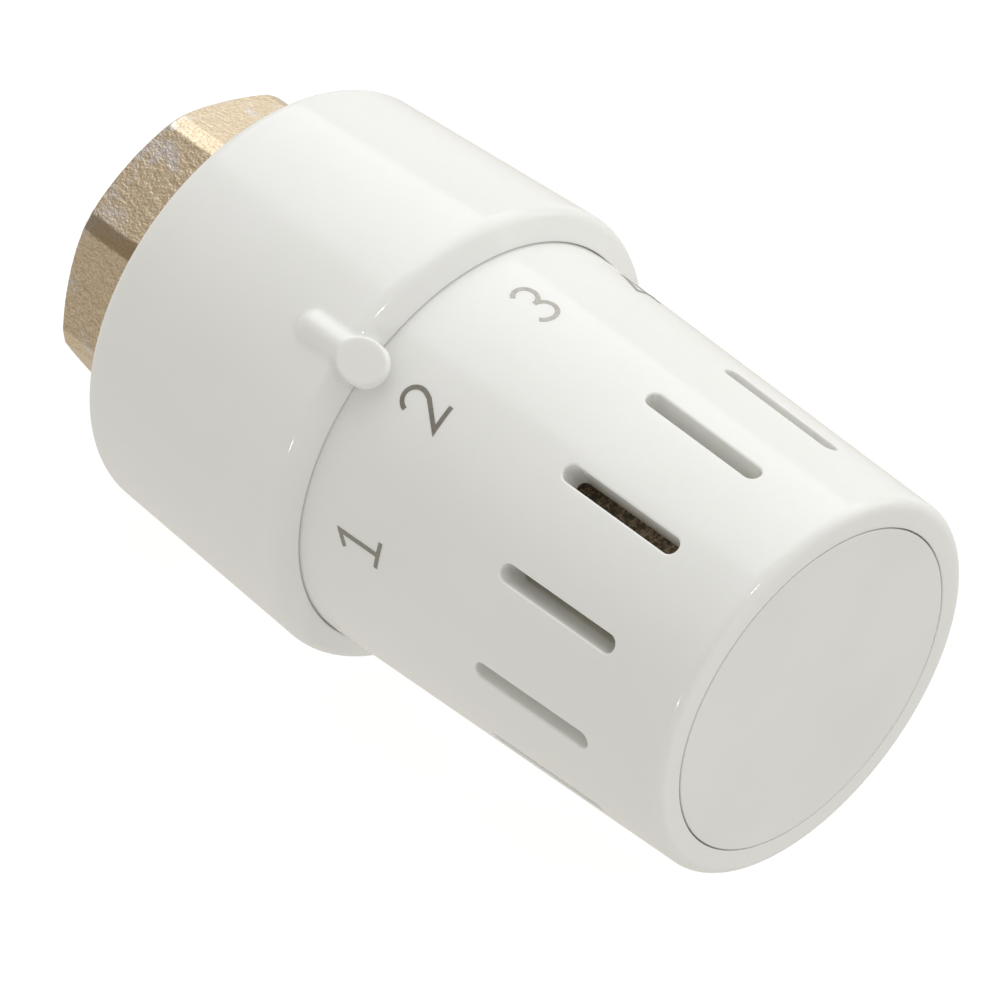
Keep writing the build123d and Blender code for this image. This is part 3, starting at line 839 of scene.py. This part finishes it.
def stretched(tree, where, x, y, z):
    """Pattern coordinates scaled along each axis."""
    return node(tree, "ShaderNodeMapping", Vector=where, Scale=(x, y, z)).outputs[0]


def bumped(tree, height, depth_mm, strength=1.0, normal=None):
    """A normal with relief of that depth, on top of another normal if one is given."""
    made = node(tree, "ShaderNodeBump", Height=height, Distance=depth_mm * MM, Strength=strength)
    if normal is not None:
        tree.links.new(normal, made.inputs["Normal"])
    return made.outputs[0]


def specks(tree, where, spacing, size, share):
    """Mask of small sparse specks: 1 inside a speck, 0 elsewhere."""
    cells = node(tree, "ShaderNodeTexVoronoi", Vector=where, Scale=1 / spacing)
    near = math_node(tree, "LESS_THAN", cells.outputs["Distance"], size / spacing)
    pick = node(tree, "ShaderNodeSeparateColor", Color=cells.outputs["Color"]).outputs[0]
    return math_node(tree, "MULTIPLY", near, math_node(tree, "LESS_THAN", pick, share))


def moulded(name, colour, shade, gloss, texture, dust=0.0, glow=0.0, painted_glow=0.0):
    """Moulded plastic: slow tint drift, flow streaks in the gloss, fine texture, a few dust specks.

    The last argument sets a painted glow: warm emission over the whole surface that stands in for light
    coming through thin translucent walls.
    """
    made, tree, shader, where = start_material(name)
    drift = noise(tree, where, 0.06, detail=3)
    tint = mix(tree, rescale(tree, drift, 0.35, 0.65, 0, 1), colour, shade)
    if dust:
        mask = math_node(tree, "MULTIPLY", specks(tree, where, 9.0, 0.13, dust), 0.75)
        tint = mix(tree, mask, tint, rgb(0.2, 0.18, 0.15))
    streaks = noise(tree, stretched(tree, where, 0.3, 1, 1), 0.35, detail=2)
    fine = noise(tree, where, 2.0, detail=2)
    wear = rescale(tree, streaks, 0.3, 0.7, -0.03, 0.03)
    wear = math_node(tree, "ADD", wear, rescale(tree, fine, 0, 1, -0.01, 0.01))
    rough = math_node(tree, "ADD", wear, gloss)
    skin = bumped(tree, noise(tree, where, 0.35, detail=2), 0.03, strength=0.35)
    skin = bumped(tree, noise(tree, where, 7.0, detail=3), texture, normal=skin)
    set_inputs(tree, shader, Base_Color=tint, Roughness=rough, IOR=1.5, Normal=skin)
    # painted glow: warm emission that stands in for light shining through the translucent walls
    set_inputs(tree, shader, Emission_Color=rgb(1.0, 0.95, 0.8), Emission_Strength=painted_glow)
    if glow:
        set_inputs(tree, shader, Subsurface_Weight=glow, Subsurface_Radius=(1.0, 0.95, 0.8))
        set_inputs(tree, shader, Subsurface_Scale=1.2 * MM)
    return made


def forged_brass():
    """Hot-pressed and blasted brass: wrinkled skin, brown film in the pits, blue-grey tarnish at the rear."""
    made, tree, shader, where = start_material("forged_brass")
    pits = noise(tree, where, 3.9, detail=2, roughness=0.5)
    cloud = noise(tree, where, 0.26, detail=4, roughness=0.6, distortion=0.6)
    bright = mix(tree, rescale(tree, pits, 0.36, 0.62, 0, 1), rgb(0.68, 0.545, 0.36), rgb(0.81, 0.69, 0.52))
    film = mix(tree, rescale(tree, pits, 0.36, 0.64, 0, 1), rgb(0.72, 0.68, 0.66), rgb(0.84, 0.82, 0.84))
    along = node(tree, "ShaderNodeSeparateXYZ", Vector=where).outputs["X"]
    middle = around(NUT_FILM_X, NUT_FLATS / 2, radians(NUT_FILM_ANGLE))
    spot = vector_value(tree, "DISTANCE", where, middle)
    stained = math_node(tree, "ADD", cloud, rescale(tree, spot, 1.5, 7.0, 0.13, 0.0))
    reach = math_node(tree, "ADD", stained, rescale(tree, along, 0.0, 7.0, 0.03, -0.08))
    colour = mix(tree, rescale(tree, reach, 0.55, 0.68, 0, 0.75), bright, film)
    skin = bumped(tree, pits, 0.06)
    skin = bumped(tree, noise(tree, where, 9.0, detail=3), 0.008, normal=skin)
    rough = rescale(tree, pits, 0.3, 0.7, 0.45, 0.32)
    set_inputs(tree, shader, Base_Color=colour, Metallic=1.0, Roughness=rough, Normal=skin)
    return made


def turned_metal(name, colour, shade, rough_low, rough_high, ring=14.0):
    """Machined metal: fine rings round the axis, dull patches and stains."""
    made, tree, shader, where = start_material(name)
    rings = noise(tree, stretched(tree, where, ring, 0.4, 0.4), 1.0, detail=2)
    patches = noise(tree, where, 0.5, detail=4, roughness=0.65)
    colour = mix(tree, rescale(tree, patches, 0.35, 0.65, 0, 1), colour, shade)
    rough = rescale(tree, patches, 0.3, 0.7, rough_low, rough_high)
    skin = bumped(tree, rings, 0.01)
    set_inputs(tree, shader, Base_Color=colour, Metallic=1.0, Roughness=rough, Normal=skin)
    return made


def sensor_can():
    """Tarnished can of the sensor: dark brown with bright copper flecks."""
    made, tree, shader, where = start_material("sensor_can")
    flecks = noise(tree, where, 2.2, detail=5, roughness=0.75)
    colour = mix(tree, rescale(tree, flecks, 0.46, 0.64, 0, 1), rgb(0.24, 0.19, 0.14), rgb(0.80, 0.66, 0.50))
    rough = rescale(tree, flecks, 0.4, 0.7, 0.6, 0.3)
    skin = bumped(tree, flecks, 0.12)
    set_inputs(tree, shader, Base_Color=colour, Metallic=0.5, Roughness=rough, Normal=skin)
    return made


def satin_disc():
    """Satin inlay: fine even texture with a few specks."""
    made, tree, shader, where = start_material("satin_disc")
    drift = noise(tree, where, 0.09, detail=2)
    colour = mix(tree, rescale(tree, drift, 0.35, 0.65, 0, 1), rgb(0.83, 0.825, 0.81), rgb(0.80, 0.80, 0.79))
    mask = math_node(tree, "MULTIPLY", specks(tree, where, 7.0, 0.12, 0.5), 0.6)
    colour = mix(tree, mask, colour, rgb(0.25, 0.23, 0.21))
    skin = bumped(tree, noise(tree, where, 8.0, detail=3, roughness=0.6), 0.012)
    rough = rescale(tree, noise(tree, where, 1.2, detail=4), 0.3, 0.7, 0.36, 0.48)
    set_inputs(tree, shader, Base_Color=colour, Roughness=rough, Normal=skin)
    return made


def printed_ink():
    """Pad-printed silvery grey ink with slightly uneven cover, light where it mirrors the bright side."""
    made, tree, shader, where = start_material("scale_ink")
    cover = noise(tree, where, 3.0, detail=4, roughness=0.7)
    colour = mix(tree, rescale(tree, cover, 0.35, 0.7, 0, 1), rgb(0.33, 0.32, 0.285), rgb(0.43, 0.42, 0.385))
    rough = rescale(tree, cover, 0.3, 0.7, 0.38, 0.3)
    skin = bumped(tree, cover, 0.01)
    set_inputs(tree, shader, Base_Color=colour, Metallic=0.75, Roughness=rough, Normal=skin)
    return made


def finishes():
    """A finish for each material slot of the record."""
    white = rgb(0.825, 0.83, 0.82), rgb(0.81, 0.818, 0.80)
    ivory = rgb(0.80, 0.79, 0.73), rgb(0.74, 0.73, 0.66)
    natural = rgb(0.66, 0.65, 0.61), rgb(0.60, 0.59, 0.54)
    brass = rgb(0.80, 0.62, 0.36), rgb(0.60, 0.43, 0.24)
    steel = rgb(0.60, 0.60, 0.62), rgb(0.42, 0.41, 0.40)
    black = rgb(0.03, 0.03, 0.03), rgb(0.05, 0.05, 0.048)
    return {
        # the white and cage plastics get a small painted glow (emission) for light through their walls
        "white_plastic": moulded("white_plastic", *white, 0.11, 0.0012, dust=0.25, glow=0.25, painted_glow=0.035),
        "cage_plastic": moulded("cage_plastic", *ivory, 0.42, 0.004, painted_glow=0.03),
        "inner_plastic": moulded("inner_plastic", *natural, 0.48, 0.006, dust=0.3),
        "disc_grey": satin_disc(),
        "brass": turned_metal("turned_brass", *brass, 0.2, 0.42),
        "sensor_metal": sensor_can(),
        "spring_steel": turned_metal("spring_steel", *steel, 0.22, 0.4),
        "seal_rubber": moulded("seal_rubber", *black, 0.6, 0.02),
    }


def finish_cad_nodes(finish):
    """Give every carried-over CAD node the finish of its slot."""
    for part in frame["record"]["subparts"]:
        mesh = frame["nodes"][part["node"]].data
        mesh.materials.clear()
        mesh.materials.append(finish[part["material_slot"]])


# ======================================================================================== stage
CAMERA_AZIMUTH = 46.49
CAMERA_ELEVATION = 43.35
CAMERA_DISTANCE = 0.5198
CAMERA_LENS = 197.75
CAMERA_AIM = Vector((45.03, -1.18, -2.8)) * MM

# ---- surroundings: even light on matt surfaces, and what shiny ones mirror ----
AMBIENT = (0.745, 0.73, 0.695, 1.0)
CAMERA_DIP = 0.45  # how much the surroundings darken towards the camera
REFLECTED_BRIGHT = (0.79, 0.785, 0.775, 1.0)
REFLECTED_SIDE = (0.45, 0.425, 0.395, 1.0)
REFLECTED_BAND = (0.16, 0.115, 0.065, 1.0)
BAND_HEIGHT = 0.33
REFLECTED_BELOW = (0.68, 0.65, 0.6, 1.0)
FLOOR_GLOW = 0.89


def direction(azimuth, elevation):
    a, e = radians(azimuth), radians(elevation)
    return Vector((sin(a) * cos(e), -cos(a) * cos(e), sin(e)))


def add_camera():
    """The camera looks down on the dial's end from the +X and -Y side."""
    data = bpy.data.cameras.new("camera")
    data.lens = CAMERA_LENS
    data.sensor_width = 36.0
    data.clip_start, data.clip_end = 0.01, 20.0
    camera = bpy.data.objects.new("camera", data)
    back = direction(CAMERA_AZIMUTH, CAMERA_ELEVATION)
    camera.location = CAMERA_AIM + back * CAMERA_DISTANCE
    camera.rotation_euler = (-back).to_track_quat("-Z", "Y").to_euler()
    bpy.context.scene.collection.objects.link(camera)
    bpy.context.scene.camera = camera


def add_area(name, azimuth, elevation, distance, size, power, colour=(1, 1, 1)):
    """A soft box that faces the object."""
    data = bpy.data.lights.new(name, "AREA")
    data.shape = "RECTANGLE"
    data.size, data.size_y = size
    data.energy = power
    data.color = colour
    light = bpy.data.objects.new(name, data)
    towards = direction(azimuth, elevation)
    light.location = (cad_low + cad_high) / 2 + towards * distance
    light.rotation_euler = towards.to_track_quat("Z", "Y").to_euler()
    bpy.context.scene.collection.objects.link(light)


def add_lights():
    """A large soft key high on the +Y side, a lower fill beside it and two small lights for glints."""
    add_area("key_box", 201, 56, 0.9, (1.4, 1.1), 4.5, (0.95, 0.97, 1.0))
    add_area("fill_box", 150, 20, 0.9, (0.6, 0.6), 0.85)
    add_area("window_right", 85, 38, 1.0, (0.04, 0.04), 0.5)
    add_area("window_front", 30, 6, 1.0, (0.04, 0.04), 0.5)


def add_world():
    """Even warm light, darker towards the camera. Reflections see a bright +Y side and a dark -Y band."""
    world = bpy.data.worlds.new("surroundings")
    world.use_nodes = True
    tree = world.node_tree
    tree.nodes.clear()
    look = node(tree, "ShaderNodeTexCoord").outputs["Generated"]
    part = node(tree, "ShaderNodeSeparateXYZ", Vector=look).outputs
    facing = vector_value(tree, "DOT_PRODUCT", look, direction(CAMERA_AZIMUTH, CAMERA_ELEVATION))
    dip = smooth(tree, facing, 0.6, 1.0, 0.0, CAMERA_DIP)
    even = mix(tree, dip, AMBIENT, rgb(0, 0, 0))
    from_band = math_node(tree, "ABSOLUTE", math_node(tree, "SUBTRACT", part["Z"], BAND_HEIGHT))
    dark_side = mix(tree, smooth(tree, from_band, 0.08, 0.45), REFLECTED_BAND, REFLECTED_SIDE)
    walls = mix(tree, smooth(tree, part["Y"], -0.3, 0.35), dark_side, REFLECTED_BRIGHT)
    seen = mix(tree, smooth(tree, part["Z"], 0.0, -0.65), walls, REFLECTED_BELOW)
    path = node(tree, "ShaderNodeLightPath").outputs
    colour = mix(tree, path["Is Glossy Ray"], even, seen)
    colour = mix(tree, path["Is Camera Ray"], colour, rgb(1, 1, 1))
    backdrop = node(tree, "ShaderNodeBackground", Color=colour)
    node(tree, "ShaderNodeOutputWorld", Surface=backdrop.outputs[0])
    bpy.context.scene.world = world


def add_floor():
    """A plain white floor under the collar that keeps a faint shadow."""
    size = 3.0
    mesh = bpy.data.meshes.new("floor")
    corners = ((-size, -size), (size, -size), (size, size), (-size, size))
    mesh.from_pydata([(x, y, cad_low.z) for x, y in corners], [], [(0, 1, 2, 3)])
    made, tree, shader, where = start_material("floor_paper")
    tone = mix(tree, noise(tree, where, 0.02, detail=2), rgb(0.20, 0.20, 0.20), rgb(0.19, 0.19, 0.19))
    set_inputs(tree, shader, Base_Color=tone, Roughness=0.8, Specular_IOR_Level=0.0)
    set_inputs(tree, shader, Emission_Color=rgb(1, 1, 1), Emission_Strength=FLOOR_GLOW)
    mesh.materials.append(made)
    floor = bpy.data.objects.new("floor", mesh)
    floor.visible_diffuse = False
    floor.visible_glossy = False
    bpy.context.scene.collection.objects.link(floor)


# ======================================================================================== assembly
finish = finishes()
finish_cad_nodes(finish)
white = finish["white_plastic"]
make_piece("knob_shell", *knob_mesh(), white, "dial", "white_plastic", ["dial_knob"])
make_piece("disc_inlay", *disc_mesh(), finish["disc_grey"], "dial", "disc_grey", ["end_disc"])
make_piece("collar_shell", *collar_mesh(), white, "base", "white_plastic", ["collar"])
make_piece("nut_forging", *nut_mesh(), forged_brass(), "nut", "brass", ["union_nut"], sharp=60.0)
add_spring(finish["spring_steel"])
add_scale(printed_ink())
add_camera()
add_world()
add_floor()
add_lights()
bpy.context.scene.view_settings.view_transform = "Standard"
